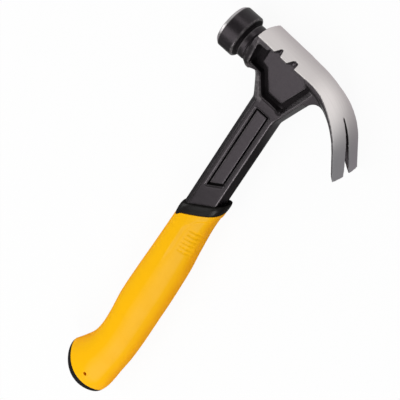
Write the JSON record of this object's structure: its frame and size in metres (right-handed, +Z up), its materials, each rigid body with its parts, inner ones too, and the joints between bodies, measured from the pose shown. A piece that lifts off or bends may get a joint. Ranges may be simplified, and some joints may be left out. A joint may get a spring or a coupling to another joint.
{
  "type": "curved claw hammer",
  "caption": "Curved claw hammer forged in one piece, black coated with a polished top and claw, and a yellow moulded grip.",
  "frame": {"origin": "middle of the hammer's box, on the surface that it lies on", "axes": "+X from the striking face to the claw, +Y along the handle from the butt to the head, +Z up out of the cheek that faces the viewer"},
  "size_m": [0.1209, 0.3312, 0.0348],
  "materials": {
    "black_coated_steel": "black satin coat, ground and polished on the top, claw back and striking face",
    "damper_rubber": "matte",
    "black_moulding": "satin gloss",
    "yellow_rubber": "satin, fine grain"
  },
  "bodies": {
    "root": {"hammer_forging": "black_coated_steel", "tang_damper": "damper_rubber", "grip_core": "black_moulding", "grip_sleeve": "yellow_rubber", "butt_cap": "black_moulding"}
  },
  "joints": []
}
